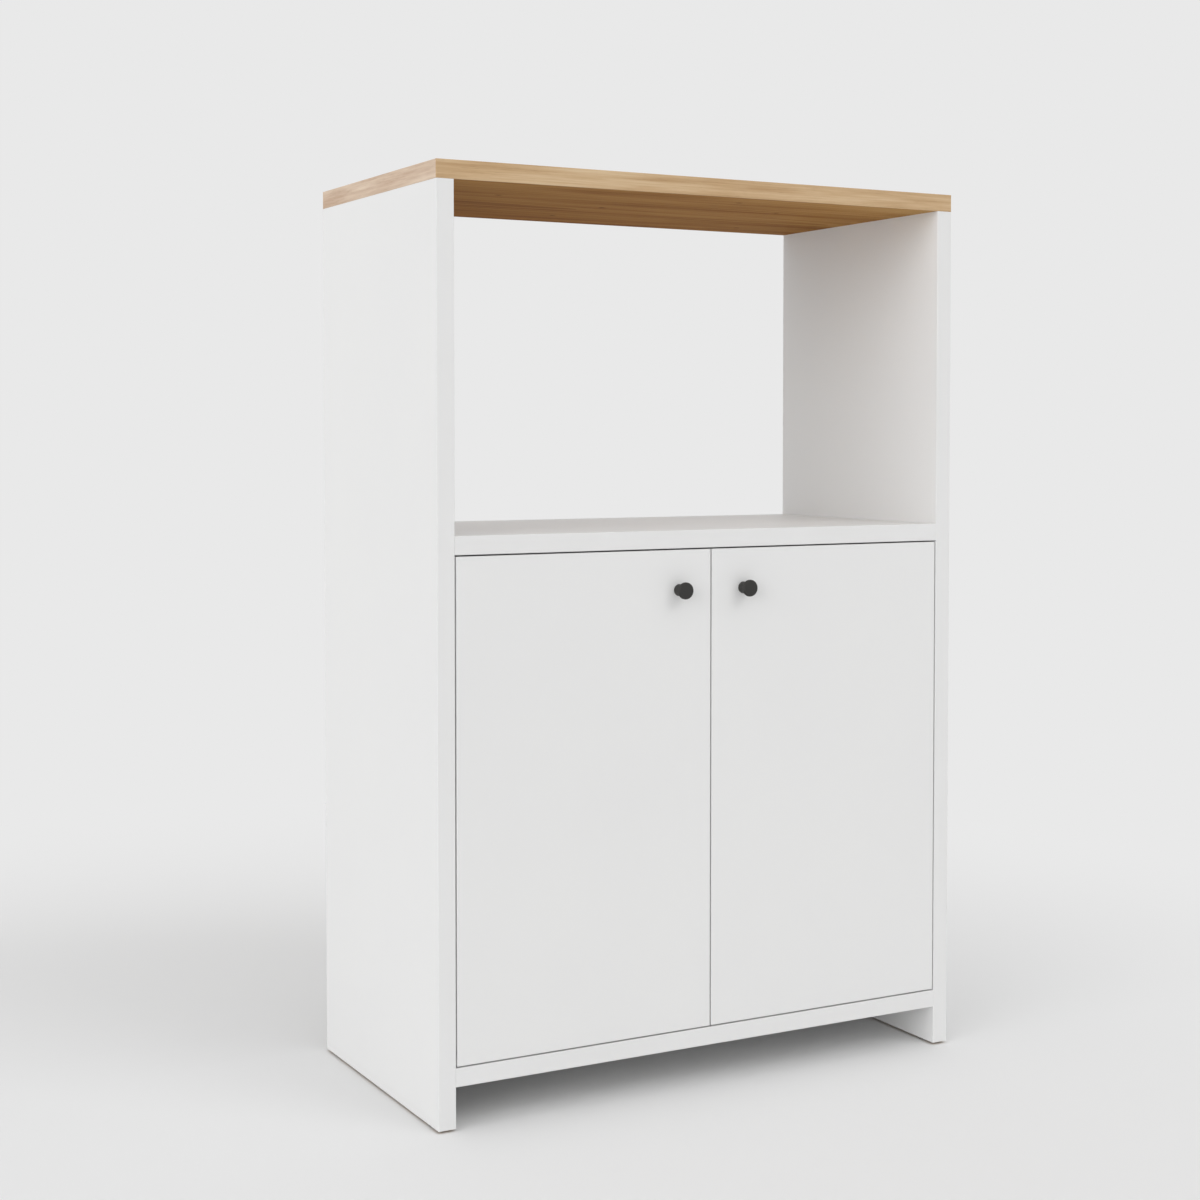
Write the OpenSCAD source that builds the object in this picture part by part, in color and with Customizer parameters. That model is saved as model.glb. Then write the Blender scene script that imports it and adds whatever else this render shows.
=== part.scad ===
// Free-standing microwave cabinet: an open niche above a two-door cupboard.
// +Z is up, the front looks along -Y, and the origin is on the floor under the middle of the whole box.

/* [Cabinet] */
// Width over the side panels
cabinet_w = 600; // [560:1:700]
// Depth of the carcass, without the knobs
cabinet_d = 295; // [285:1:400]
// Height from the floor to the top of the worktop
cabinet_h = 915; // [885:1:1000]
// Height of the open niche
niche_h = 333; // [280:1:350]
// Height of the space under the bottom panel
toe_h = 42; // [35:1:60]

/* [Boards] */
// Thickness of the worktop
worktop_t = 18; // [18:0.5:28]
// Thickness of the side, floor, bottom and shelf boards
board_t = 18; // [16:0.5:22]
// Thickness of the strip glued on each board edge that shows
edging_t = 1; // [0.4:0.1:2]
// Thickness of the back panel
back_t = 3; // [2.5:0.5:5]
// Distance from the back of the carcass to the back panel
back_inset = 10; // [8:1:20]
// Depth of the grooves that hold the back panel
groove_depth = 7; // [4:0.5:8]
// Room left between the back panel's edge and the bottom of its groove
groove_play = 1; // [0.5:0.5:2]

/* [Doors] */
// Thickness of a door
door_t = 18; // [18:0.5:20]
// Gap round and between the doors
door_gap = 1.5; // [1.5:0.25:3]
// Angle to which a door opens
door_open = 100; // [90:1:100]
// Distance from a door's upper or lower edge to the middle of its nearest hinge
hinge_end = 85; // [70:1:110]

/* [Knobs] */
// Diameter of the knob's head
knob_head_d = 17; // [15:0.5:24]
// Thickness of the knob's head
knob_head_t = 4; // [3:0.5:6]
// Diameter of the knob's neck
knob_neck_d = 12; // [8:0.5:12]
// How far the knob stands out from the door
knob_out = 15; // [11:0.5:20]
// Radius of the rounded rim of the knob's head
knob_rim_r = 1.4; // [0.5:0.1:1.4]
// Distance from the door's free edge to the knob's axis
knob_in = 37; // [25:1:60]
// Distance from the door's top edge to the knob's axis
knob_down = 40; // [30:1:120]
// Depth of the threaded bore in the knob
knob_bore_depth = 9; // [6:0.5:9.5]

/* [Inner shelf] */
// Height of the shelf's underside above the bottom panel
shelf_up = 230; // [190:1:270]
// Distance from the back of the doors to the shelf's front edge
shelf_setback = 12; // [6:1:40]
// Room at each end of the shelf, and behind it
shelf_play = 1; // [0.5:0.25:2]
// Diameter of the shelf pins and of their holes
pin_d = 5; // [4:0.5:6]
// Depth of the shelf pin holes
pin_hole_depth = 9; // [7:0.5:10]
// Distance from the shelf's front and back edges to the pin holes
pin_in = 35; // [25:1:60]
// Step between the rows of pin holes
pin_pitch = 32; // [25:1:32]
// Rows of pin holes above and below the row in use
pin_rows = 2; // [0:1:2]

/* [Joint fittings] */
// Diameter of a dowel
dowel_d = 8; // [6:0.5:9]
// Depth of a dowel in the face of a board
dowel_face_depth = 11; // [8:0.5:12]
// Depth of a dowel in the end of a board
dowel_end_depth = 19; // [14:1:24]
// Diameter of a cam lock
cam_d = 15; // [12:0.5:20]
// Height of a cam lock
cam_h = 13; // [13:0.25:14]
// Distance from the end of a board to the axis of its cam locks
cam_in = 34; // [24:1:40]
// Diameter of the shaft of a cam bolt
bolt_shaft_d = 5; // [4:0.5:6]
// Diameter of the head of a cam bolt
bolt_head_d = 7; // [6.5:0.5:8]
// Diameter of the thread of a cam bolt
bolt_thread_d = 6; // [5.5:0.5:7]
// Length of the thread of a cam bolt
bolt_thread_l = 9; // [7:0.5:11]
// Distance from the carcass's front and back to its cam bolts
bolt_edge = 50; // [40:1:60]
// Distance between a cam bolt and the dowel next to it
dowel_step = 32; // [24:1:40]
// Distance from the carcass's front and back to the worktop's end dowels
top_dowel_edge = 40; // [25:1:60]

/* [Hinges] */
// Diameter of the hinge cup
cup_d = 35; // [34:0.5:36]
// Depth of the hinge cup
cup_depth = 12.5; // [12.5:0.25:13]
// Wall of the hinge cup
cup_wall = 1.2; // [0.8:0.1:1.2]
// Thickness of the cup's floor
cup_floor_t = 0.6; // [0.4:0.1:0.6]
// Distance from the door's edge to the cup
cup_in = 3; // [3:0.25:3.5]
// Thickness of the cup's flange
flange_t = 1; // [0.8:0.1:1]
// Height between the two screws of a cup
cup_screw_pitch = 48; // [45:1:52]
// Distance of the cup screws from the cup's axis, away from the door's edge
cup_screw_offset = 6; // [5:0.5:9]
// Distance from the door's hinge edge to the axis that the door turns about
axis_in = 10; // [9.5:0.5:10.5]
// Distance from the door's face to the axis that the door turns about
axis_back = 4.5; // [4:0.25:5]
// Distance from the door's axis to the arm's pin, across the cabinet
arm_pin_x = 20; // [19.5:0.25:20.5]
// Distance from the door's axis to the arm's pin, towards the back
arm_pin_y = 16.5; // [16.5:0.25:17]
// Distance from the door's axis to the pin in the cup
cup_pin_r = 8; // [7.75:0.25:8.25]
// Diameter of the pin in the arm
arm_pin_d = 3; // [2:0.25:3]
// Diameter of the pin in the cup
cup_pin_d = 2.5; // [2:0.25:2.5]
// Room round the arm's pin in the lever's eye
pin_play = 0.05; // [0.02:0.01:0.1]
// Thickness of the lever's metal
lever_t = 1.8; // [1.2:0.1:1.8]
// Height of the lever along its pins
lever_w = 12; // [9:0.5:12]
// Thickness of the arm's metal
arm_t = 1.5; // [1:0.1:1.6]
// Height of the arm over its two cheeks
arm_w = 17; // [16.5:0.25:17.5]
// Distance from the side panel to the outside of the arm's web
arm_h = 16; // [15:0.5:18]
// Thickness of the mounting plate
plate_t = 2; // [1.5:0.25:3]
// Distance from the carcass's front to the mounting plate's screws
plate_y = 55; // [55:1:60]
// Height between the two screws of a mounting plate
plate_screw_pitch = 32; // [32:1:36]
// Distance from the arm's pin to the arm's straight back part
arm_slope_l = 26; // [25:0.5:28]
// Length of the arm's straight back part
arm_back_l = 57; // [54:1:60]
// Distance from the front of the arm's straight back part to its first screw
arm_screw_front = 12; // [8:1:14]
// Distance from the back end of the arm to its second screw
arm_screw_rear = 14; // [8:1:16]
// Distance from a mounting plate's screws to its upper and lower ends
plate_end = 8; // [6:0.5:10]
// Diameter of the wood screws
screw_d = 3.5; // [3:0.25:4]
// Length of the wood screws
screw_l = 14; // [11:0.5:14.5]

/* [Feet] */
// Diameter of a nail-on glide
glide_d = 16; // [12:1:16]
// Thickness of a glide
glide_t = 2.5; // [2:0.25:6]
// Distance from the carcass's front and back to the glides
glide_edge = 25; // [15:1:50]

/* [Hidden] */
$fn = 64;
eps = 0.01;
cut = 1;

left = -1;
right = 1;
white = "#e9e9e8";
hinge_metal = "#b9bcc0";
fitting_metal = "#a3a6aa";

// The front of the carcass stands back so that the knobs' faces and the back are equally far from the origin.
front_y = (knob_out - cabinet_d) / 2;
back_y = front_y + cabinet_d;
inner_w = cabinet_w - 2 * board_t;
worktop_z = cabinet_h - worktop_t;
niche_floor_top = worktop_z - niche_h;
niche_floor_z = niche_floor_top - board_t;
bottom_top = toe_h + board_t;
back_panel_y = back_y - back_inset - back_t;

door_w = (inner_w - 3 * door_gap) / 2;
door_z = bottom_top + door_gap;
door_top = niche_floor_z - door_gap;
door_h = door_top - door_z;
knob_x = door_gap / 2 + knob_in;
knob_z = door_top - knob_down;
knob_screw_d = 4;
knob_screw_play = 0.25;
knob_screw_end = 1;
knob_screw_head_d = 8;
knob_screw_head_t = 2.2;

shelf_z = bottom_top + shelf_up;
shelf_y = front_y + door_t + shelf_setback;
shelf_d = back_panel_y - shelf_play - shelf_y;
shelf_w = inner_w - 2 * shelf_play;
pin_ys = [shelf_y + pin_in, shelf_y + shelf_d - pin_in];
pin_foot_t = 2.5;
pin_z = shelf_z - pin_foot_t - pin_d / 2;
pin_foot_w = 9;
pin_foot_l = 10;
pin_plate_t = 1;
pin_plate_below = 1.5;
pin_plate_h = pin_foot_t + pin_d + pin_plate_below;

// Heights of the middles of the two boards that are joined between the sides
joint_zs = [toe_h + board_t / 2, niche_floor_z + board_t / 2];
bolt_ys = [front_y + bolt_edge, back_y - bolt_edge];
dowel_ys = [front_y + bolt_edge + dowel_step, back_y - bolt_edge - dowel_step];
top_dowel_ys = [front_y + top_dowel_edge, (front_y + back_y) / 2, back_y - top_dowel_edge];
bolt_head_l = 3;
dowel_chamfer = 1;
cam_cross_w = 1.6;
cam_cross_l = 9;
cam_cross_depth = 2.5;

// Hinges, in a frame whose origin is on the side panel's inner face, at the carcass's front and at the
// hinge's middle height. X runs inwards from the side panel and Y towards the back.
hinge_zs = [door_z + hinge_end, door_top - hinge_end];
axis_x = door_gap + axis_in;
arm_pin = [axis_x + arm_pin_x, axis_back + arm_pin_y];
// The pin in the cup is as far from the arm's pin with the door closed as with it fully open.
cup_pin_angle = atan2(arm_pin_y, arm_pin_x) + door_open / 2;
cup_pin = [axis_x + cup_pin_r * cos(cup_pin_angle), axis_back + cup_pin_r * sin(cup_pin_angle)];
lever_bend_upper = arm_pin + [-2, -6];
lever_bend_lower = cup_pin + [7, -3.5];
lever_eye_r = 2.75;
lever_tip_r = 2.1;
cup_x = door_gap + cup_in + cup_d / 2;
cup_screw_x = cup_x + cup_screw_offset;
cup_pin_end = 2.5;
cup_pin_l = lever_w + 2 * cup_pin_end;
flange_rim = 1;
flange_r = cup_d / 2 + flange_rim;
flange_end_r = 8;
arm_nose_r = 3.3;
arm_nose_l = 5;
arm_web_start = 3;
arm_chin_x = 3;
arm_chin_y = 7;
arm_back_y = arm_pin.y + arm_slope_l;
arm_end_y = arm_back_y + arm_back_l;
arm_skirt_x = 5;
arm_skirt_l = 8;
saddle_play = 0.1;
saddle_w = arm_w - 2 * (arm_t + saddle_play);
plate_w = 30;
plate_h = plate_screw_pitch + 2 * plate_end;
arm_screw_ys = [arm_back_y + arm_screw_front, arm_end_y - arm_screw_rear];
arm_screw_d = 5;
arm_screw_head_d = 8;
arm_screw_head_t = 1.6;
arm_screw_depth = 7;
screw_head_d = 7;
screw_head_t = 2;

glide_ys = [front_y + glide_edge, back_y - glide_edge];
glide_edge_t = 0.6;
nail_d = 2;
nail_l = 14;

// ---- Shared shapes ----

// A box from one corner to the opposite one
module block(low, high) {
    translate(low) cube(high - low);
}

// Draws its children on the left, or mirrored on the right
module on_side(side) {
    if (side < 0) children();
    else mirror([1, 0, 0]) children();
}

// Puts its children at both hinge heights of one side, in the hinge frame
module at_hinges(side) {
    on_side(side) for (z = hinge_zs) translate([-inner_w / 2, front_y, z]) children();
}

// A flat strip with round ends between two points
module strip(from, to, width) {
    run = to - from;
    translate(from) circle(d = width);
    translate(to) circle(d = width);
    translate(from) rotate(atan2(run.y, run.x)) translate([0, -width / 2]) square([norm(run), width]);
}

// Strips on the four edges of a standing board, the upright ones over the ends of the others
module edge_frame(low, high) {
    inner_low = low + [edging_t, 0, edging_t];
    inner_high = high - [edging_t, 0, edging_t];
    block(low, [inner_low.x, high.y, high.z]);
    block([inner_high.x, low.y, low.z], high);
    block([inner_low.x, low.y, low.z], [inner_high.x, high.y, inner_low.z]);
    block([inner_low.x, low.y, inner_high.z], [inner_high.x, high.y, high.z]);
}

// A countersunk wood screw whose head is flush with z = 0 and whose point looks down
module wood_screw() {
    translate([0, 0, -screw_head_t]) cylinder(h = screw_head_t, d1 = screw_d, d2 = screw_head_d);
    translate([0, 0, -screw_l]) cylinder(h = screw_l - screw_head_t, d = screw_d);
}

// The seat that a wood screw leaves in what it holds
module wood_screw_seat() {
    wood_screw();
    cylinder(h = cut, d = screw_head_d);
}

// ---- Worktop ----

module worktop() {
    color("#c39b68") difference() {
        block(
            [-cabinet_w / 2 + edging_t, front_y + edging_t, worktop_z],
            [cabinet_w / 2 - edging_t, back_y - edging_t, cabinet_h]
        );
        top_dowel_holes();
    }
}

module worktop_edging() {
    inner_x = cabinet_w / 2 - edging_t;
    color("#cda877") {
        for (x = [-cabinet_w / 2, inner_x])
            block([x, front_y + edging_t, worktop_z], [x + edging_t, back_y - edging_t, cabinet_h]);
        for (y = [front_y, back_y - edging_t])
            block([-cabinet_w / 2, y, worktop_z], [cabinet_w / 2, y + edging_t, cabinet_h]);
    }
}

// ---- Dowels ----

module dowel(depth_below, depth_above) {
    translate([0, 0, -depth_below])
        cylinder(h = dowel_chamfer, d1 = dowel_d - 2 * dowel_chamfer, d2 = dowel_d);
    translate([0, 0, dowel_chamfer - depth_below])
        cylinder(h = depth_below + depth_above - 2 * dowel_chamfer, d = dowel_d);
    translate([0, 0, depth_above - dowel_chamfer])
        cylinder(h = dowel_chamfer, d1 = dowel_d, d2 = dowel_d - 2 * dowel_chamfer);
}

module at_top_dowels() {
    for (x = [-1, 1] * (cabinet_w - board_t) / 2, y = top_dowel_ys)
        translate([x, y, worktop_z]) children();
}

module top_dowel_holes() {
    at_top_dowels() translate([0, 0, -dowel_end_depth])
        cylinder(h = dowel_end_depth + dowel_face_depth, d = dowel_d);
}

module worktop_dowels() {
    color("#d9bf94") at_top_dowels() dowel(dowel_end_depth, dowel_face_depth);
}

// Dowels between the sides and the boards, drawn with z pointing inwards from a side panel's inner face
module at_carcass_dowels(side) {
    on_side(side) for (y = dowel_ys, z = joint_zs)
        translate([-inner_w / 2, y, z]) rotate([0, 90, 0]) children();
}

module carcass_dowel_holes(side) {
    at_carcass_dowels(side) translate([0, 0, -dowel_face_depth])
        cylinder(h = dowel_face_depth + dowel_end_depth, d = dowel_d);
}

module carcass_dowels() {
    color("#d9bf94") for (side = [left, right])
        at_carcass_dowels(side) dowel(dowel_face_depth, dowel_end_depth);
}

// ---- Cam fittings ----

module at_cam_bolts(side) {
    on_side(side) for (y = bolt_ys, z = joint_zs)
        translate([-inner_w / 2, y, z]) rotate([0, 90, 0]) children();
}

module cam_bolt_thread_holes(side) {
    at_cam_bolts(side) translate([0, 0, -bolt_thread_l]) cylinder(h = bolt_thread_l, d = bolt_thread_d);
}

module cam_bolts() {
    color(fitting_metal) for (side = [left, right]) at_cam_bolts(side) {
        translate([0, 0, -bolt_thread_l]) cylinder(h = bolt_thread_l, d = bolt_thread_d);
        cylinder(h = cam_in - bolt_head_l, d = bolt_shaft_d);
        translate([0, 0, cam_in - bolt_head_l]) cylinder(h = bolt_head_l, d = bolt_head_d);
    }
}

// The way of a cam bolt's head through the end of its board to the cam's middle
module cam_bolt_bore() {
    cylinder(h = cam_in, d = bolt_head_d);
}

module at_cam_locks() {
    for (side = [left, right]) on_side(side) for (y = bolt_ys, z = joint_zs)
        translate([cam_in - inner_w / 2, y, z - board_t / 2]) children();
}

module cam_locks() {
    color(fitting_metal) difference() {
        at_cam_locks() cylinder(h = cam_h, d = cam_d);
        for (side = [left, right]) at_cam_bolts(side) cam_bolt_bore();
        at_cam_locks() for (turn = [0, 90]) rotate(turn)
            translate([-cam_cross_l / 2, -cam_cross_w / 2, -cut])
                cube([cam_cross_l, cam_cross_w, cut + cam_cross_depth]);
    }
}

module cam_board_cuts() {
    at_cam_locks() cylinder(h = cam_h, d = cam_d);
    for (side = [left, right]) {
        at_cam_bolts(side) cam_bolt_bore();
        carcass_dowel_holes(side);
    }
}

// ---- Side panels ----

module back_panel_groove() {
    reach = inner_w / 2 + groove_depth;
    block(
        [-reach, back_panel_y, bottom_top - groove_depth],
        [reach, back_panel_y + back_t, niche_floor_z + groove_depth]
    );
}

module shelf_pin_holes(side) {
    on_side(side) for (y = pin_ys, row = [-pin_rows:pin_rows])
        translate([-inner_w / 2 - pin_hole_depth, y, pin_z + row * pin_pitch])
            rotate([0, 90, 0]) cylinder(h = pin_hole_depth + eps, d = pin_d);
}

module side_panel(side) {
    color(white) difference() {
        on_side(side) block(
            [-cabinet_w / 2, front_y + edging_t, glide_t],
            [-inner_w / 2, back_y - edging_t, worktop_z]
        );
        back_panel_groove();
        top_dowel_holes();
        carcass_dowel_holes(side);
        cam_bolt_thread_holes(side);
        shelf_pin_holes(side);
        at_hinges(side) at_plate_screws() wood_screw();
        at_glides(side) glide_nail();
    }
}

module side_edging(side) {
    color("#dededd") on_side(side) for (y = [front_y, back_y - edging_t])
        block([-cabinet_w / 2, y, glide_t], [-inner_w / 2, y + edging_t, worktop_z]);
}

// ---- Boards between the sides ----

module niche_floor() {
    color(white) difference() {
        block(
            [-inner_w / 2, front_y + edging_t, niche_floor_z],
            [inner_w / 2, back_y - edging_t, niche_floor_top]
        );
        back_panel_groove();
        cam_board_cuts();
    }
}

module niche_floor_edging() {
    color("#dededd") for (y = [front_y, back_y - edging_t])
        block([-inner_w / 2, y, niche_floor_z], [inner_w / 2, y + edging_t, niche_floor_top]);
}

module bottom_panel() {
    color(white) difference() {
        block([-inner_w / 2, front_y + edging_t, toe_h], [inner_w / 2, back_y, bottom_top]);
        back_panel_groove();
        cam_board_cuts();
    }
}

module bottom_panel_edging() {
    color("#dededd")
        block([-inner_w / 2, front_y, toe_h], [inner_w / 2, front_y + edging_t, bottom_top]);
}

module back_panel() {
    reach = groove_depth - groove_play;
    color("#dddcda") block(
        [-inner_w / 2 - reach, back_panel_y, bottom_top - reach],
        [inner_w / 2 + reach, back_panel_y + back_t, niche_floor_z + reach]
    );
}

module inner_shelf() {
    color(white) block(
        [-shelf_w / 2, shelf_y + edging_t, shelf_z],
        [shelf_w / 2, shelf_y + shelf_d, shelf_z + board_t]
    );
}

module inner_shelf_edging() {
    color("#dededd") block(
        [-shelf_w / 2, shelf_y, shelf_z],
        [shelf_w / 2, shelf_y + edging_t, shelf_z + board_t]
    );
}

// A shelf pin: a round shank in the panel, a plate against it and a flat foot under the shelf
module shelf_pin() {
    translate([-pin_hole_depth, 0, 0]) rotate([0, 90, 0]) cylinder(h = pin_hole_depth, d = pin_d);
    translate([0, -pin_foot_w / 2, pin_d / 2 + pin_foot_t - pin_plate_h])
        cube([pin_plate_t, pin_foot_w, pin_plate_h]);
    translate([0, -pin_foot_w / 2, pin_d / 2]) cube([pin_foot_l, pin_foot_w, pin_foot_t]);
}

module shelf_pins() {
    color(fitting_metal) for (side = [left, right]) on_side(side) for (y = pin_ys)
        translate([-inner_w / 2, y, pin_z]) shelf_pin();
}

// ---- Feet ----

module at_glides(side) {
    on_side(side) for (y = glide_ys) translate([-(cabinet_w - board_t) / 2, y, 0]) children();
}

module glide_nail() {
    translate([0, 0, glide_t]) cylinder(h = nail_l, d = nail_d);
}

module foot_glides() {
    color("#8d8b88") for (side = [left, right]) at_glides(side) {
        cylinder(h = glide_edge_t, d1 = glide_d - 2 * glide_edge_t, d2 = glide_d);
        translate([0, 0, glide_edge_t]) cylinder(h = glide_t - glide_edge_t, d = glide_d);
        glide_nail();
    }
}

// ---- Doors ----

module door_space(side, inset) {
    on_side(side) block(
        [door_gap - inner_w / 2 + inset, front_y, door_z + inset],
        [door_gap - inner_w / 2 + door_w - inset, front_y + door_t, door_top - inset]
    );
}

module door_panel(side) {
    color(white) difference() {
        door_space(side, edging_t);
        at_hinges(side) {
            cup_body();
            at_cup_screws() wood_screw();
        }
        at_knob(side) translate([0, 0, -door_t - cut])
            cylinder(h = door_t + 2 * cut, d = knob_screw_d + 2 * knob_screw_play);
    }
}

module door_edging(side) {
    color("#dededd") on_side(side) edge_frame(
        [door_gap - inner_w / 2, front_y, door_z],
        [door_gap - inner_w / 2 + door_w, front_y + door_t, door_top]
    );
}

// ---- Knobs ----

// Puts its children on a door's face, with z pointing out of it
module at_knob(side) {
    on_side(side) translate([-knob_x, front_y, knob_z]) rotate([90, 0, 0]) children();
}

module knob_profile() {
    head_r = knob_head_d / 2;
    square([knob_neck_d / 2, knob_out]);
    translate([0, knob_out - knob_head_t]) square([head_r - knob_rim_r, knob_head_t]);
    translate([0, knob_out - knob_head_t + knob_rim_r]) square([head_r, knob_head_t - 2 * knob_rim_r]);
    for (y = [knob_out - knob_head_t + knob_rim_r, knob_out - knob_rim_r])
        translate([head_r - knob_rim_r, y]) circle(r = knob_rim_r);
}

module knob(side) {
    color("#33312e") at_knob(side) difference() {
        rotate_extrude() knob_profile();
        translate([0, 0, -cut]) cylinder(h = knob_bore_depth + cut, d = knob_screw_d);
    }
}

module knob_screw(side) {
    shaft_l = door_t + knob_bore_depth - knob_screw_end;
    color(fitting_metal) at_knob(side) translate([0, 0, -door_t]) {
        cylinder(h = shaft_l, d = knob_screw_d);
        translate([0, 0, -knob_screw_head_t]) cylinder(h = knob_screw_head_t, d = knob_screw_head_d);
    }
}

// ---- Hinges, in the hinge frame ----

module at_plate_screws() {
    for (z = [-1, 1] * plate_screw_pitch / 2)
        translate([plate_t, plate_y, z]) rotate([0, 90, 0]) children();
}

module at_arm_screws() {
    for (y = arm_screw_ys) translate([arm_h, y, 0]) rotate([0, 90, 0]) children();
}

module arm_screw() {
    translate([0, 0, -arm_screw_depth]) cylinder(h = arm_screw_depth, d = arm_screw_d);
    cylinder(h = arm_screw_head_t, d = arm_screw_head_d);
}

module hinge_plate() {
    difference() {
        union() {
            block([0, plate_y - plate_w / 2, -plate_h / 2], [plate_t, plate_y + plate_w / 2, plate_h / 2]);
            block([0, arm_back_y, -saddle_w / 2], [arm_h - arm_t, arm_end_y, saddle_w / 2]);
        }
        at_plate_screws() wood_screw_seat();
        at_arm_screws() arm_screw();
    }
}

// Outline of the arm, seen along its pin
module arm_outline() {
    polygon([
        arm_pin + [arm_nose_r, 0],
        arm_pin + [arm_nose_r, arm_nose_l],
        [arm_h, arm_back_y],
        [arm_h, arm_end_y],
        [arm_skirt_x, arm_end_y],
        [arm_skirt_x, arm_back_y - arm_skirt_l],
        [axis_x + arm_chin_x, arm_pin.y + arm_chin_y],
        arm_pin + [-arm_nose_r, 0]
    ]);
    translate(arm_pin) circle(r = arm_nose_r);
}

// What is taken out between the arm's cheeks, up to the inside of its web
module arm_hollow() {
    polygon([
        arm_pin + [arm_nose_r + cut, -arm_nose_r - cut],
        arm_pin + [arm_nose_r + cut, arm_web_start],
        arm_pin + [arm_nose_r - arm_t, arm_nose_l - arm_t / 2],
        [arm_h - arm_t, arm_back_y - arm_t / 2],
        [arm_h - arm_t, arm_end_y + cut],
        [arm_skirt_x - cut, arm_end_y + cut],
        [arm_skirt_x - cut, arm_pin.y - arm_nose_r - cut]
    ]);
}

module hinge_arm() {
    difference() {
        translate([0, 0, -arm_w / 2]) linear_extrude(arm_w) arm_outline();
        translate([0, 0, arm_t - arm_w / 2]) linear_extrude(arm_w - 2 * arm_t) arm_hollow();
        arm_pin_solid();
        at_arm_screws() arm_screw();
    }
}

module arm_pin_solid() {
    translate([arm_pin.x, arm_pin.y, -arm_w / 2]) cylinder(h = arm_w, d = arm_pin_d);
}

module lever_pin_solid() {
    translate([cup_pin.x, cup_pin.y, -cup_pin_l / 2]) cylinder(h = cup_pin_l, d = cup_pin_d);
}

module lever_outline() {
    strip(arm_pin, lever_bend_upper, lever_t);
    strip(lever_bend_upper, lever_bend_lower, lever_t);
    strip(lever_bend_lower, cup_pin, lever_t);
    translate(arm_pin) circle(r = lever_eye_r);
    translate(cup_pin) circle(r = lever_tip_r);
}

module hinge_lever() {
    difference() {
        translate([0, 0, -lever_w / 2]) linear_extrude(lever_w) lever_outline();
        translate([arm_pin.x, arm_pin.y, -arm_w / 2]) cylinder(h = arm_w, d = arm_pin_d + 2 * pin_play);
        lever_pin_solid();
    }
}

// Puts its children at the mouth of the cup, with z pointing out of the door's back
module at_cup() {
    translate([cup_x, door_t, 0]) rotate([-90, 0, 0]) children();
}

module at_cup_screws() {
    for (z = [-1, 1] * cup_screw_pitch / 2)
        translate([cup_screw_x, door_t + flange_t, z]) rotate([-90, 0, 0]) children();
}

module cup_body() {
    at_cup() translate([0, 0, -cup_depth]) cylinder(h = cup_depth, d = cup_d);
}

module cup_flange() {
    at_cup() cylinder(h = flange_t, r = flange_r);
    for (z = [-1, 1] * cup_screw_pitch / 2)
        translate([cup_screw_x, door_t, z]) rotate([-90, 0, 0]) cylinder(h = flange_t, r = flange_end_r);
    block(
        [cup_screw_x - flange_end_r, door_t, -cup_screw_pitch / 2],
        [cup_screw_x + flange_end_r, door_t + flange_t, cup_screw_pitch / 2]
    );
}

module hinge_cup() {
    difference() {
        union() {
            cup_body();
            cup_flange();
        }
        at_cup() translate([0, 0, cup_floor_t - cup_depth])
            cylinder(h = cup_depth + flange_t + cut, d = cup_d - 2 * cup_wall);
        at_cup_screws() wood_screw_seat();
    }
}

module hinge_plates(side) {
    color(hinge_metal) at_hinges(side) hinge_plate();
}

module plate_screws(side) {
    color(fitting_metal) at_hinges(side) at_plate_screws() wood_screw();
}

module hinge_arms(side) {
    color(hinge_metal) at_hinges(side) hinge_arm();
}

module arm_screws(side) {
    color(fitting_metal) at_hinges(side) at_arm_screws() arm_screw();
}

module arm_pins(side) {
    color(fitting_metal) at_hinges(side) arm_pin_solid();
}

module hinge_levers(side) {
    color(hinge_metal) at_hinges(side) hinge_lever();
}

module lever_pins(side) {
    color(fitting_metal) at_hinges(side) lever_pin_solid();
}

module hinge_cups(side) {
    color(hinge_metal) at_hinges(side) hinge_cup();
}

module cup_screws(side) {
    color(fitting_metal) at_hinges(side) at_cup_screws() wood_screw();
}

// ---- The whole cabinet ----

worktop();
worktop_edging();
side_panel(left);  // side_panel_left
side_panel(right);  // side_panel_right
side_edging(left);  // side_edging_left
side_edging(right);  // side_edging_right
niche_floor();
niche_floor_edging();
bottom_panel();
bottom_panel_edging();
back_panel();
inner_shelf();
inner_shelf_edging();
shelf_pins();
worktop_dowels();
carcass_dowels();
cam_bolts();
cam_locks();
foot_glides();
door_panel(left);  // door_panel_left
door_panel(right);  // door_panel_right
door_edging(left);  // door_edging_left
door_edging(right);  // door_edging_right
knob(left);  // knob_left
knob(right);  // knob_right
knob_screw(left);  // knob_screw_left
knob_screw(right);  // knob_screw_right
hinge_plates(left);  // hinge_plates_left
hinge_plates(right);  // hinge_plates_right
plate_screws(left);  // plate_screws_left
plate_screws(right);  // plate_screws_right
hinge_arms(left);  // hinge_arms_left
hinge_arms(right);  // hinge_arms_right
arm_screws(left);  // arm_screws_left
arm_screws(right);  // arm_screws_right
arm_pins(left);  // arm_pins_left
arm_pins(right);  // arm_pins_right
hinge_levers(left);  // hinge_levers_left
hinge_levers(right);  // hinge_levers_right
lever_pins(left);  // lever_pins_left
lever_pins(right);  // lever_pins_right
hinge_cups(left);  // hinge_cups_left
hinge_cups(right);  // hinge_cups_right
cup_screws(left);  // cup_screws_left
cup_screws(right);  // cup_screws_right
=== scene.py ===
import math

import bmesh
import bpy
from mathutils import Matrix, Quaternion, Vector


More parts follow.
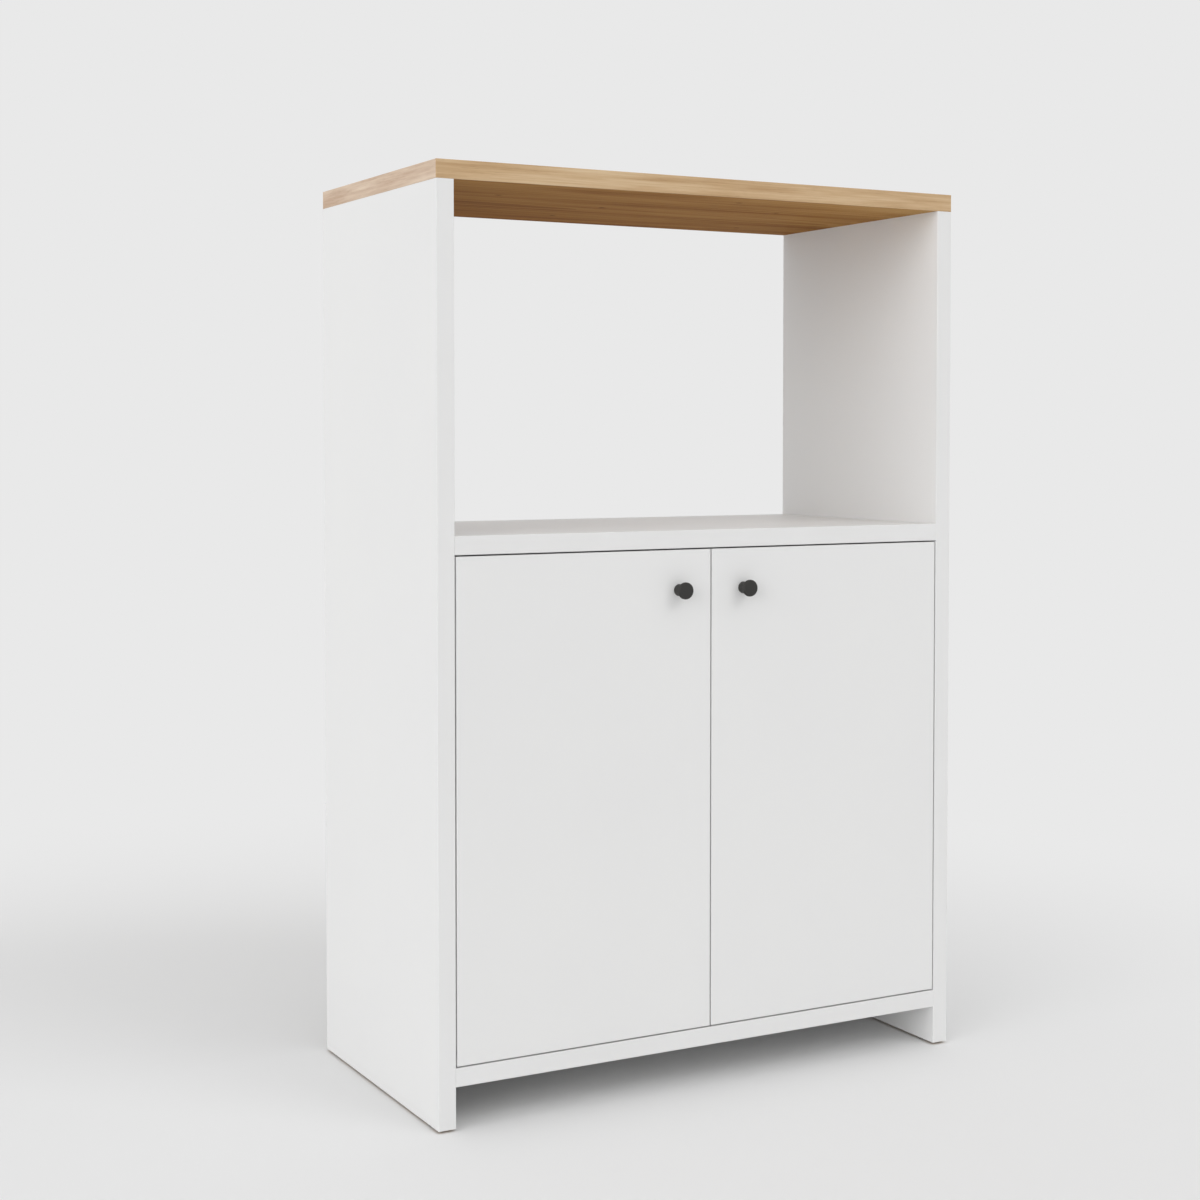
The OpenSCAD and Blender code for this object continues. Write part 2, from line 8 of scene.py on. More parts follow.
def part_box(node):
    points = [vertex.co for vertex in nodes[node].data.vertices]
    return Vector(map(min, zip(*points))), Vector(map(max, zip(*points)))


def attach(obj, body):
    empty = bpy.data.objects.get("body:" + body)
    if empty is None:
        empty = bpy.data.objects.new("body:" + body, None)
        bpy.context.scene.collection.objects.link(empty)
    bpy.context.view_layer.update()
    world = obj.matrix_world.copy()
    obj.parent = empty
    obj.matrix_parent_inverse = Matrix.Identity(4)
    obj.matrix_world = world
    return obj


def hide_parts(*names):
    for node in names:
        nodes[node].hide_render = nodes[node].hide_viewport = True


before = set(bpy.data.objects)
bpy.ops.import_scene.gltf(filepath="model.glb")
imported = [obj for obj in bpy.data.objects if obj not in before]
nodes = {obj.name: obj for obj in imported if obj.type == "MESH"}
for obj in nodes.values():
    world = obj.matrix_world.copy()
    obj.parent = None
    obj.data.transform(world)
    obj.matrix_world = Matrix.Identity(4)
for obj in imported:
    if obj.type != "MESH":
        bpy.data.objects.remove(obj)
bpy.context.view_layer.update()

MM = 0.001
# Growth rings of the oak, in mm, and how much slower they wander along the log than across it
RING_GAP = 5.5
RING_STRETCH = 12
# The wave texture's own scale at which one ring is one unit wide
WAVE_PER_UNIT = math.pi / 10
SIDES = ("left", "right")
X, Y, Z = range(3)
# Corners nearer than this are one corner, and places nearer than this are the same place
MERGE = 0.001 * MM
CLOSE = 0.01 * MM
# Faces that meet at less than this are one flat face
FLAT_ANGLE = math.radians(1)
# Edges that turn by more than this are rounded where a fitting is softened
BENT_ANGLE = math.radians(30)
# Edges that turn by more than this stay sharp in the shading
SHARP_ANGLE = math.radians(35)


# ---- Working with pieces ----

def only(piece):
    """Selects this piece and nothing else."""
    bpy.ops.object.select_all(action="DESELECT")
    piece.select_set(True)
    bpy.context.view_layer.objects.active = piece


def block(name, low, high):
    """A box from one corner to the opposite one, with its place in its mesh."""
    bpy.ops.object.select_all(action="DESELECT")
    bpy.ops.mesh.primitive_cube_add(size=1, location=(low + high) / 2)
    piece = bpy.context.object
    piece.name = name
    piece.scale = high - low
    bpy.ops.object.transform_apply(location=True, rotation=True, scale=True)
    return piece


def edit_edges(piece, passes):
    """Opens a piece in edit mode with the edges selected whose two ends pass a test."""
    only(piece)
    bpy.ops.object.mode_set(mode="EDIT")
    bpy.ops.mesh.select_mode(type="EDGE")
    bpy.ops.mesh.select_all(action="DESELECT")
    shape = bmesh.from_edit_mesh(piece.data)
    for edge in shape.edges:
        edge.select_set(passes(edge.verts[0].co, edge.verts[1].co))
    shape.select_flush_mode()
    bmesh.update_edit_mesh(piece.data)


def round_edges(piece, passes, width, segments):
    """Rounds the edges whose two ends pass a test."""
    edit_edges(piece, passes)
    bpy.ops.mesh.bevel(offset=width, segments=segments, affect="EDGES")
    bpy.ops.object.mode_set(mode="OBJECT")


def arc(centre, radius, start, end, steps):
    """Points on an arc, from one angle to another in degrees."""
    angles = [math.radians(start + (end - start) * step / steps) for step in range(steps + 1)]
    return [(centre[0] + radius * math.cos(a), centre[1] + radius * math.sin(a)) for a in angles]


def turned(name, profile, segments):
    """A round piece drawn out of a disc ring by ring.

    The profile holds each ring's radius and height, in mm.
    """
    bpy.ops.object.select_all(action="DESELECT")
    radius, height = profile[0]
    bpy.ops.mesh.primitive_circle_add(
        vertices=segments, radius=radius * MM, fill_type="NGON", location=(0, 0, height * MM))
    piece = bpy.context.object
    piece.name = name
    bpy.ops.object.transform_apply(location=True, rotation=True, scale=True)
    bpy.ops.object.mode_set(mode="EDIT")
    bpy.ops.mesh.select_mode(type="FACE")
    bpy.ops.mesh.select_all(action="SELECT")
    for next_radius, next_height in profile[1:]:
        rise = (next_height - height) * MM
        growth = next_radius / radius
        bpy.ops.mesh.extrude_region_move(TRANSFORM_OT_translate={"value": (0, 0, rise)})
        bpy.ops.transform.resize(value=(growth, growth, 1), center_override=(0, 0, next_height * MM))
        radius, height = next_radius, next_height
    bpy.ops.mesh.select_all(action="SELECT")
    bpy.ops.mesh.normals_make_consistent(inside=False)
    bpy.ops.object.mode_set(mode="OBJECT")
    return piece


def copy_of(piece, name):
    """A copy with a mesh of its own."""
    only(piece)
    bpy.ops.object.duplicate()
    twin = bpy.context.object
    twin.name = name
    return twin


def turn_to(piece, direction, place=(0, 0, 0), spin=0):
    """Turns what was drawn along Z into this direction and puts it in its place, all in its mesh."""
    only(piece)
    turn = Vector(direction).to_track_quat("Z", "Y") @ Quaternion((0, 0, 1), spin)
    piece.rotation_euler = turn.to_euler()
    piece.location = place
    bpy.ops.object.transform_apply(location=True, rotation=True, scale=True)


def join(pieces, name):
    """Makes several pieces one."""
    bpy.ops.object.select_all(action="DESELECT")
    for piece in pieces:
        piece.select_set(True)
    bpy.context.view_layer.objects.active = pieces[0]
    if len(pieces) > 1:
        bpy.ops.object.join()
    pieces[0].name = name
    return pieces[0]


def merged_copy(node, name):
    """A node's shape as a new object, its loose triangles merged into whole faces."""
    bpy.ops.object.select_all(action="DESELECT")
    piece = bpy.data.objects.new(name, nodes[node].data.copy())
    bpy.context.scene.collection.objects.link(piece)
    only(piece)
    bpy.ops.object.mode_set(mode="EDIT")
    bpy.ops.mesh.select_all(action="SELECT")
    bpy.ops.mesh.remove_doubles(threshold=MERGE)
    bpy.ops.mesh.dissolve_limited(angle_limit=FLAT_ANGLE)
    bpy.ops.mesh.customdata_custom_splitnormals_clear()
    bpy.ops.object.mode_set(mode="OBJECT")
    return piece


def solids(node):
    """The lowest and highest corner of each separate solid in a node."""
    merged_copy(node, f"parts_of_{node}")
    bpy.ops.object.mode_set(mode="EDIT")
    bpy.ops.mesh.separate(type="LOOSE")
    bpy.ops.object.mode_set(mode="OBJECT")
    boxes = []
    for part in list(bpy.context.selected_objects):
        corners = [vertex.co for vertex in part.data.vertices]
        boxes.append((Vector(map(min, zip(*corners))), Vector(map(max, zip(*corners)))))
        bpy.data.objects.remove(part)
    return sorted(boxes, key=lambda box: tuple(box[0]))


def apply_modifier(piece, kind, **settings):
    """Adds a modifier with its settings and applies it."""
    only(piece)
    modifier = piece.modifiers.new(kind.lower(), kind)
    for name, value in settings.items():
        setattr(modifier, name, value)
    bpy.ops.object.modifier_apply(modifier=modifier.name)


def cut_out(piece, tool):
    """Takes the tool's shape out of a piece."""
    apply_modifier(piece, "BOOLEAN", operation="DIFFERENCE", solver="EXACT", object=tool)


def smooth(piece):
    """Shades the rounded edges smooth and leaves the flat faces flat."""
    only(piece)
    bpy.ops.object.shade_smooth_by_angle(angle=SHARP_ANGLE)
    apply_modifier(piece, "WEIGHTED_NORMAL", keep_sharp=True)


def finish_piece(piece, body, node, material):
    """Gives a piece its material, lets it ride on its body and stand for its node."""
    piece.data.materials.clear()
    piece.data.materials.append(material)
    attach(piece, body)
    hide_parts(node)


# ---- Working with materials ----

def colour(code):
    """The linear colour of an sRGB hex code."""
    channels = [int(code[place:place + 2], 16) / 255 for place in (1, 3, 5)]
    return [c / 12.92 if c <= 0.04045 else ((c + 0.055) / 1.055) ** 2.4 for c in channels] + [1]


def add_node(material, kind, inputs=None, stops=(), **settings):
    """Adds a shader node, whose inputs are given as values, or as the nodes or sockets that feed them."""
    made = material.node_tree.nodes.new("ShaderNode" + kind)
    for name, value in settings.items():
        setattr(made, name, value)
    for name, value in (inputs or {}).items():
        if isinstance(value, bpy.types.Node):
            value = value.outputs[0]
        if isinstance(value, bpy.types.NodeSocket):
            material.node_tree.links.new(value, made.inputs[name])
        else:
            made.inputs[name].default_value = value
    for place, code in stops:
        # A new ramp has a stop at each end
        if place in (0, 1):
            made.color_ramp.elements[-place].color = colour(code)
        else:
            made.color_ramp.elements.new(place).color = colour(code)
    return made


def new_material(name, **constants):
    """A material, its shader with the constants that are the same all over, and its object coordinates."""
    material = bpy.data.materials.new(name)
    material.use_nodes = True
    shader = material.node_tree.nodes["Principled BSDF"]
    for socket, value in constants.items():
        shader.inputs[socket.replace("_", " ")].default_value = value
    place = add_node(material, "TexCoord").outputs["Object"]
    return material, shader, place


def feed(material, shader, **sockets):
    """Links nodes to the shader's sockets."""
    for socket, source in sockets.items():
        output = source.outputs[0] if isinstance(source, bpy.types.Node) else source
        material.node_tree.links.new(output, shader.inputs[socket.replace("_", " ")])


def per_mm(size):
    """The scale of a texture whose pattern repeats about every so many mm."""
    return 1 / (size * MM)


def sized(axis, along, across):
    """The size of a pattern in metres, from its length in mm along this axis and across it."""
    size = [across * MM, across * MM]
    size.insert(axis, along * MM)
    return size


# ---- Materials ----

# The worktop's lowest and highest corner and its size, in mm
top_low, top_high = (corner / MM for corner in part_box("worktop"))
WORKTOP_SPAN = top_high - top_low
# The way in which the painted shade on its underside gets deeper: towards the rear left, away from the
# light at the front
REAR_LEFT = (-1, 1, 0)
# Lengths and widths in the wood, in mm
FIBRE = (45, 0.8)
HEARTWOOD_STREAK = (700, 9)
KNOT_GAP = (170, 110)
# Pores are drawn twice as wide as the real ones, which would not show
PORE = (14, 0.9)
# Chips lie flat in the chipboard: how thick and how wide they are, in mm
CHIP = (0.9, 3.2)


def wood(name, grain, across, heart, turn, tones, seed, patch, streak, rings_share, knots, underside=None):
    """Matt-lacquered oak: long soft streaks, faint growth rings, short open pores and small dark knots.

    The grain runs along one axis of the face and the other lies across it. The heart is a point on the axis
    of the log that the board was cut from, in mm, and the turn, in degrees, is how askew the board was cut.
    The tones go from light to dark, and the patches and the streaks have a length and a width in mm. How
    strongly the knots show is a share of 1. A board may have painted shade on its underside: two darker
    tints multiplied into its colour where it faces down, the lighter at its front right corner and the
    deeper at its rear left one.
    """
    material, shader, place = new_material(name, IOR=1.5, Specular_IOR_Level=0.08)
    # Coordinates in which each figure of the wood is one unit long and one unit wide
    stretched = {}
    figures = {
        "patch": patch, "streak": streak, "fibre": FIBRE,
        "heartwood": HEARTWOOD_STREAK, "pore": PORE, "knot": KNOT_GAP,
    }
    for figure, (length, width) in figures.items():
        stretched[figure] = add_node(material, "Mapping", {
            "Vector": place, "Location": [seed * MM] * 3, "Scale": sized(grain, length, width),
        }, vector_type="TEXTURE")
    patches = add_node(material, "TexNoise", {"Vector": stretched["patch"], "Scale": 1, "Detail": 3})
    streaks = add_node(material, "TexNoise", {
        "Vector": stretched["streak"], "Scale": 1, "Detail": 4, "Roughness": 0.62, "Distortion": 0.25,
    })
    fibres = add_node(material, "TexNoise", {"Vector": stretched["fibre"], "Scale": 1, "Detail": 3})
    # The log's axis is askew to the board, so its rings come out as long arches
    in_log = add_node(material, "Mapping", {
        "Vector": place, "Scale": sized(grain, RING_STRETCH * RING_GAP, RING_GAP),
        "Location": [step * MM for step in heart], "Rotation": [math.radians(angle) for angle in turn],
    }, vector_type="TEXTURE")
    rings = add_node(material, "TexWave", {
        "Vector": in_log, "Scale": WAVE_PER_UNIT,
        "Distortion": 4, "Detail": 3, "Detail Scale": 0.35, "Detail Roughness": 0.5,
    }, wave_type="RINGS", rings_direction="XYZ"[grain], wave_profile="SAW")
    # Each figure has its share in how dark the wood is
    tone = add_node(material, "Math", {0: rings.outputs["Fac"], 1: rings_share}, operation="MULTIPLY")
    for source, share in ((patches, 0.8 - rings_share), (streaks, 0.5), (fibres, 0.2)):
        tone = add_node(material, "Math", {0: source, 1: share, 2: tone}, operation="MULTIPLY_ADD")
    tone = add_node(material, "MapRange", {"Value": tone, "From Min": 0.56, "From Max": 0.94})
    base = add_node(material, "ValToRGB", {"Fac": tone}, stops=zip((0, 0.5, 1), tones))
    # Streaks of redder heartwood
    red = add_node(material, "TexNoise", {"Vector": stretched["heartwood"], "Scale": 1, "Detail": 2})
    red = add_node(material, "MapRange", {"Value": red, "From Min": 0.55, "From Max": 0.8, "To Max": 0.22})
    base = add_node(material, "MixRGB", {"Fac": red, "Color1": base, "Color2": colour("#a9703f")})
    # Pores are darkest where the wood is dark
    pores = add_node(material, "TexVoronoi", {"Vector": stretched["pore"], "Scale": 1})
    pores = add_node(material, "MapRange", {
        "Value": pores.outputs["Distance"], "From Min": 0.12, "From Max": 0.3, "To Min": 1, "To Max": 0,
    })
    pore_tint = add_node(material, "Math", {0: pores, 1: tone}, operation="MULTIPLY")
    pore_tint = add_node(material, "Math", {0: pore_tint, 1: 0.22}, operation="MULTIPLY")
    base = add_node(material, "MixRGB", {"Fac": pore_tint, "Color1": base, "Color2": colour("#6e4a26")})
    # Knots lie scattered over the face
    on_face = add_node(material, "SeparateXYZ", {"Vector": stretched["knot"]})
    on_face = add_node(material, "CombineXYZ", {0: on_face.outputs[grain], 1: on_face.outputs[across]})
    knot = add_node(material, "TexVoronoi", {"Vector": on_face, "Scale": 1}, voronoi_dimensions="2D")
    knot = add_node(material, "MapRange", {
        "Value": knot.outputs["Distance"], "From Min": 0.008, "From Max": 0.03,
        "To Min": knots, "To Max": 0,
    })
    base = add_node(material, "MixRGB", {"Fac": knot, "Color1": base, "Color2": colour("#4a2f14")})
    # Painted shade: where the board faces down, its colour is multiplied by a darker tint, darkest towards
    # the rear left
    if underside:
        normal = material.node_tree.nodes["Texture Coordinate"].outputs["Normal"]
        upright = add_node(material, "SeparateXYZ", {"Vector": normal}).outputs[Z]
        below = add_node(material, "Math", {0: upright, 1: -0.5}, operation="LESS_THAN")
        on_board = add_node(material, "Mapping", {
            "Vector": place, "Scale": WORKTOP_SPAN * MM,
        }, vector_type="TEXTURE")
        depth = add_node(material, "VectorMath", {0: on_board, 1: REAR_LEFT}, operation="DOT_PRODUCT")
        depth = add_node(material, "MapRange", {
            "Value": depth.outputs["Value"], "From Min": -1, "From Max": 1,
        })
        painted_shade = add_node(material, "MixRGB", {
            "Fac": depth, "Color1": colour(underside[0]), "Color2": colour(underside[1]),
        })
        base = add_node(material, "MixRGB", {
            "Fac": below, "Color1": base, "Color2": painted_shade,
        }, blend_type="MULTIPLY")
    gloss = add_node(material, "MapRange", {"Value": fibres, "To Min": 0.7, "To Max": 0.85})
    relief = add_node(material, "Math", {0: pores, 1: -0.5, 2: fibres}, operation="MULTIPLY_ADD")
    bump = add_node(material, "Bump", {"Height": relief, "Distance": 0.012 * MM})
    feed(material, shader, Base_Color=base, Roughness=gloss, Normal=bump)
    return material


def melamine_board(name, thickness):
    """Melamine-faced chipboard: a pressed, faintly pearled white face, and raw chips where it is cut."""
    material, shader, place = new_material(name, IOR=1.5)
    cloud = add_node(material, "TexNoise", {"Vector": place, "Scale": per_mm(160), "Detail": 2})
    face = add_node(material, "MixRGB", {
        "Fac": cloud, "Color1": colour("#e9e9e8"), "Color2": colour("#e6e6e6"),
    })
    lying_flat = add_node(material, "Mapping", {
        "Vector": place, "Scale": sized(thickness, *CHIP),
    }, vector_type="TEXTURE")
    chips = add_node(material, "TexVoronoi", {"Vector": lying_flat, "Scale": 1})
    chip_tone = add_node(material, "SeparateColor", {"Color": chips.outputs["Color"]})
    core = add_node(material, "ValToRGB", {"Fac": chip_tone}, stops=(
        (0, "#8a6a45"), (0.35, "#a9875e"), (0.75, "#c4a478"), (1, "#d8bf95"),
    ))
    normal = material.node_tree.nodes["Texture Coordinate"].outputs["Normal"]
    across = add_node(material, "SeparateXYZ", {"Vector": normal}).outputs[thickness]
    across = add_node(material, "Math", {0: across}, operation="ABSOLUTE")
    cut = add_node(material, "Math", {0: across, 1: 0.5}, operation="LESS_THAN")
    base = add_node(material, "MixRGB", {"Fac": cut, "Color1": face, "Color2": core})
    pearl = add_node(material, "TexNoise", {"Vector": place, "Scale": per_mm(1.6), "Detail": 2})
    gloss = add_node(material, "MapRange", {"Value": cloud, "To Min": 0.42, "To Max": 0.5})
    gloss = add_node(material, "MixRGB", {"Fac": cut, "Color1": gloss, "Color2": (0.9, 0.9, 0.9, 1)})
    # The cut chips stand up six times as high as the pearled grain of the face
    chip_relief = add_node(material, "Math", {0: chips.outputs["Distance"], 1: cut}, operation="MULTIPLY")
    relief = add_node(material, "Math", {0: chip_relief, 1: 6.0, 2: pearl}, operation="MULTIPLY_ADD")
    bump = add_node(material, "Bump", {"Height": relief, "Distance": 0.02 * MM, "Strength": 0.8})
    feed(material, shader, Base_Color=base, Roughness=gloss, Normal=bump)
    return material


def edge_band():
    """Extruded ABS edge band, sanded flush: plain matt white, a trace greyer than the faces."""
    material, shader, place = new_material("white_abs_edge_band", IOR=1.53)
    drift = add_node(material, "TexNoise", {"Vector": place, "Scale": per_mm(90), "Detail": 2})
    base = add_node(material, "MixRGB", {
        "Fac": drift, "Color1": colour("#e8e8e8"), "Color2": colour("#e4e4e3"),
    })
    grain = add_node(material, "TexNoise", {"Vector": place, "Scale": per_mm(0.8), "Detail": 3})
    gloss = add_node(material, "MapRange", {"Value": grain, "To Min": 0.46, "To Max": 0.56})
    bump = add_node(material, "Bump", {"Height": grain, "Distance": 0.008 * MM})
    feed(material, shader, Base_Color=base, Roughness=gloss, Normal=bump)
    return material


def lacquered_hardboard():
    """White-lacquered hardboard: smooth, flatter and a little greyer than the melamine."""
    material, shader, place = new_material("white_lacquered_hardboard", IOR=1.5)
    drift = add_node(material, "TexNoise", {"Vector": place, "Scale": per_mm(70), "Detail": 3})
    base = add_node(material, "MixRGB", {
        "Fac": drift, "Color1": colour("#e6e6e4"), "Color2": colour("#dfdfdc"),
    })
    fibre = add_node(material, "TexNoise", {
        "Vector": place, "Scale": per_mm(3), "Detail": 4, "Distortion": 0.6,
    })
    gloss = add_node(material, "MapRange", {"Value": fibre, "To Min": 0.5, "To Max": 0.64})
    bump = add_node(material, "Bump", {"Height": fibre, "Distance": 0.03 * MM})
    feed(material, shader, Base_Color=base, Roughness=gloss, Normal=bump)
    return material


def turned_beech():
    """Turned beech: pale pinkish wood with fine short ray flecks."""
    material, shader, place = new_material("turned_beech", IOR=1.5, Roughness=0.65)
    flecks = add_node(material, "TexNoise", {
        "Vector": place, "Scale": per_mm(1.2), "Detail": 4, "Roughness": 0.6,
    })
    base = add_node(material, "ValToRGB", {"Fac": flecks}, stops=(
        (0, "#b58f62"), (0.5, "#d3b184"), (1, "#e3c9a0"),
    ))
    bump = add_node(material, "Bump", {"Height": flecks, "Distance": 0.05 * MM})
    feed(material, shader, Base_Color=base, Normal=bump)
    return material


def powder_coat():
    """Matt black powder coat on cast zinc: a fine even grain, a soft wide highlight."""
    material, shader, place = new_material("matt_black_powder_coat", IOR=1.5)
    grain = add_node(material, "TexNoise", {
        "Vector": place, "Scale": per_mm(0.35), "Detail": 3, "Roughness": 0.6,
    })
    base = add_node(material, "MixRGB", {
        "Fac": grain, "Color1": colour("#201f1d"), "Color2": colour("#2c2b28"),
    })
    gloss = add_node(material, "MapRange", {"Value": grain, "To Min": 0.5, "To Max": 0.68})
    bump = add_node(material, "Bump", {"Height": grain, "Distance": 0.03 * MM})
    feed(material, shader, Base_Color=base, Roughness=gloss, Normal=bump)
    return material


def plated_metal(name, light, dark, gloss_range, cloud_size, dent_depth):
    """Plated or cast metal: bright and slightly clouded, over a finely dented pressed or cast surface."""
    material, shader, place = new_material(name, Metallic=1)
    cloud = add_node(material, "TexNoise", {
        "Vector": place, "Scale": per_mm(cloud_size), "Detail": 4, "Roughness": 0.6,
    })
    base = add_node(material, "MixRGB", {"Fac": cloud, "Color1": colour(light), "Color2": colour(dark)})
    dents = add_node(material, "TexNoise", {"Vector": place, "Scale": per_mm(0.5), "Detail": 3})
    gloss = add_node(material, "MapRange", {
        "Value": cloud, "To Min": gloss_range[0], "To Max": gloss_range[1],
    })
    bump = add_node(material, "Bump", {"Height": dents, "Distance": dent_depth * MM})
    feed(material, shader, Base_Color=base, Roughness=gloss, Normal=bump)
    return material


def moulded_polyethylene():
    """Moulded grey polyethylene: waxy and soft, with a fine spark-eroded grain."""
    material, shader, place = new_material("moulded_polyethylene", IOR=1.51)
    grain = add_node(material, "TexNoise", {"Vector": place, "Scale": per_mm(0.6), "Detail": 2})
    base = add_node(material, "MixRGB", {
        "Fac": grain, "Color1": colour("#6f6d6a"), "Color2": colour("#7d7b77"),
    })
    gloss = add_node(material, "MapRange", {"Value": grain, "To Min": 0.48, "To Max": 0.6})
    bump = add_node(material, "Bump", {"Height": grain, "Distance": 0.02 * MM})
    feed(material, shader, Base_Color=base, Roughness=gloss, Normal=bump)
    return material


# The worktop's underside gets painted shade: a light tint at its front right and a deep brown one at its
# rear left
wood_top = wood(
    "lacquered_oak_board", grain=X, across=Y, heart=(0, 30, top_low.z - 45), turn=(0, 0.9, 0.6),
    tones=("#dac3a1", "#c6a67d", "#9c7244"), seed=40, patch=(330, 40), streak=(220, 6),
    rings_share=0.16, knots=0.75, underside=("#e3cca2", "#aa8026"))
wood_front = wood(
    "lacquered_oak_front_band", grain=X, across=Z, heart=(0, top_low.y, top_low.z - 300), turn=(0, 0.4, 0),
    tones=("#d6bd9a", "#c9ab86", "#b7966f"), seed=869, patch=(150, 9), streak=(90, 2.2),
    rings_share=0.05, knots=0)
wood_ends = wood(
    "lacquered_oak_end_band", grain=Y, across=Z, heart=(top_low.x, 0, top_low.z - 300), turn=(0.4, 0, 0),
    tones=("#dfccb8", "#d1bba6", "#c1a690"), seed=1999, patch=(90, 8), streak=(60, 2),
    rings_share=0.05, knots=0)
boards_upright = melamine_board("white_melamine_side", X)
boards_level = melamine_board("white_melamine_shelf", Z)
boards_front = melamine_board("white_melamine_door", Y)
white_band = edge_band()
hardboard = lacquered_hardboard()
beech = turned_beech()
black_coat = powder_coat()
nickel = plated_metal(
    "nickel_plated_steel", "#c9c7c2", "#b6b4af", gloss_range=(0.2, 0.32), cloud_size=9, dent_depth=0.004)
zinc = plated_metal(
    "bright_zinc_plate", "#c3c6ca", "#a9adb3", gloss_range=(0.28, 0.42), cloud_size=3, dent_depth=0.008)
zinc_cast = plated_metal(
    "cast_zinc_alloy", "#a8a9a9", "#8f9091", gloss_range=(0.4, 0.55), cloud_size=2, dent_depth=0.02)
polyethylene = moulded_polyethylene()

# The boards keep their shapes from the frame
boards = {
    "worktop": wood_top,
    "side_panel_left": boards_upright, "side_panel_right": boards_upright,
    "niche_floor": boards_level, "bottom_panel": boards_level, "inner_shelf": boards_level,
    "back_panel": hardboard,
    "door_panel_left": boards_front, "door_panel_right": boards_front,
}
for name, material in boards.items():
    nodes[name].data.materials.clear()
    nodes[name].data.materials.append(material)


# ---- Edge strips ----

STRIP_ROUND = 0.5 * MM
STRIP_SEGMENTS = 4


def round_strip(strip, axis, face, thickness, ends_too):
    """Rounds the long edges of a strip's outer face, and the short ones too where that is asked."""

    def is_rounded(a, b):
        on_face = abs(a[axis] - face) < CLOSE and abs(b[axis] - face) < CLOSE
        is_long = abs(a[thickness] - b[thickness]) < CLOSE
        return on_face and (is_long or ends_too)

    round_edges(strip, is_rounded, STRIP_ROUND, STRIP_SEGMENTS)
    smooth(strip)


def edge_strips(body, panel, edging, order, thickness, materials, wraps=False):
    """The strips between a board and its banded outline, each pair over the ends of the pair before it."""
    low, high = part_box(panel)
    outer_low, outer_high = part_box(edging)
    for axis in order:
        for word, inner, outer in (("start", low, outer_low), ("end", high, outer_high)):
            strip_low, strip_high = low.copy(), high.copy()
            if word == "start":
                strip_low[axis], strip_high[axis] = outer[axis], inner[axis]
            else:
                strip_low[axis], strip_high[axis] = inner[axis], outer[axis]
            if strip_high[axis] - strip_low[axis] < CLOSE:
                continue
            strip = block(f"{edging}_{'xyz'[axis]}_{word}", strip_low, strip_high)
            round_strip(strip, axis, outer[axis], thickness, wraps and axis == order[-1])
            finish_piece(strip, body, edging, materials[axis])
        low[axis], high[axis] = min(low[axis], outer_low[axis]), max(high[axis], outer_high[axis])


all_white = {X: white_band, Y: white_band, Z: white_band}
edge_strips("cabinet", "worktop", "worktop_edging", (X, Y), Z,
            {X: wood_ends, Y: wood_front}, wraps=True)
for side in SIDES:
    edge_strips("cabinet", f"side_panel_{side}", f"side_edging_{side}", (Y,), X,
                all_white)
    edge_strips(f"{side}_door", f"door_panel_{side}", f"door_edging_{side}", (Z, X), Y,
                all_white, wraps=True)
for board in ("niche_floor", "bottom_panel", "inner_shelf"):
    edge_strips("cabinet", board, f"{board}_edging", (Y,), Z, all_white)


# ---- Knobs ----

# Radii and lengths in mm, counted out from the door's face
KNOB_NECK = 6
KNOB_HEAD = 8.5
KNOB_OUT = 15
KNOB_HEAD_BACK = 11
KNOB_RIM = 1.4
KNOB_FILLET = 2.6
KNOB_FOOT_EDGE = 0.5
KNOB_CROWN = 0.15
# The smallest ring, which closes the crown
KNOB_TIP = 0.15
KNOB_BORE = 2
KNOB_BORE_DEPTH = 9
KNOB_SEGMENTS = 96


def knob_profile():
    """The bore's floor and wall, the foot's edge, the neck and its fillet, the rim and the crown."""
    rim_centre = KNOB_HEAD - KNOB_RIM
    return [
        (KNOB_BORE, KNOB_BORE_DEPTH), (KNOB_BORE, 0),
        *arc((KNOB_NECK - KNOB_FOOT_EDGE, KNOB_FOOT_EDGE), KNOB_FOOT_EDGE, -90, 0, 4),
        *arc((KNOB_NECK + KNOB_FILLET, KNOB_HEAD_BACK - KNOB_FILLET), KNOB_FILLET, 180, 108, 7),
        *arc((rim_centre, KNOB_HEAD_BACK + KNOB_RIM), KNOB_RIM, -90, 0, 7),
        *arc((rim_centre, KNOB_OUT - KNOB_CROWN - KNOB_RIM), KNOB_RIM, 0, 90, 7),
        # The crown is almost flat
        (rim_centre * 0.75, KNOB_OUT - KNOB_CROWN / 2.5), (rim_centre / 2, KNOB_OUT - KNOB_CROWN / 6),
        (rim_centre / 5, KNOB_OUT), (KNOB_TIP, KNOB_OUT),
    ]


knob_pattern = turned("knob_pattern", knob_profile(), KNOB_SEGMENTS)
for side in SIDES:
    low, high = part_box(f"knob_{side}")
    knob = copy_of(knob_pattern, f"turned_knob_{side}")
    turn_to(knob, (0, -1, 0), ((low.x + high.x) / 2, high.y, (low.z + high.z) / 2))
    smooth(knob)
    finish_piece(knob, f"{side}_door", f"knob_{side}", black_coat)
bpy.data.objects.remove(knob_pattern)


# ---- Screws, bolts, dowels and glides ----

# Every profile below has the head's face at z = 0 and the point down, in mm
TURNED_SEGMENTS = 40
# The width of a driver's cross at its point, as a share of its width at the head
CROSS_POINT = 0.45
DOWEL_RADIUS = 4
FLUTE_DEPTH = 0.25
# Each screw was driven to an angle of its own, in radians for each screw and for each metre up
SPIN_BY_COUNT = 2.1
SPIN_BY_HEIGHT = 40


def thread(core, crest, low, high, pitch):
    """The rings of a thread, from its lower end to its upper one."""
    rings = []
    for turn in range(round((high - low) / pitch)):
        foot = low + turn * pitch
        rings += [(core, foot), (crest, foot + 0.35 * pitch)]
        rings += [(crest, foot + 0.5 * pitch), (core, foot + 0.85 * pitch)]
    return rings


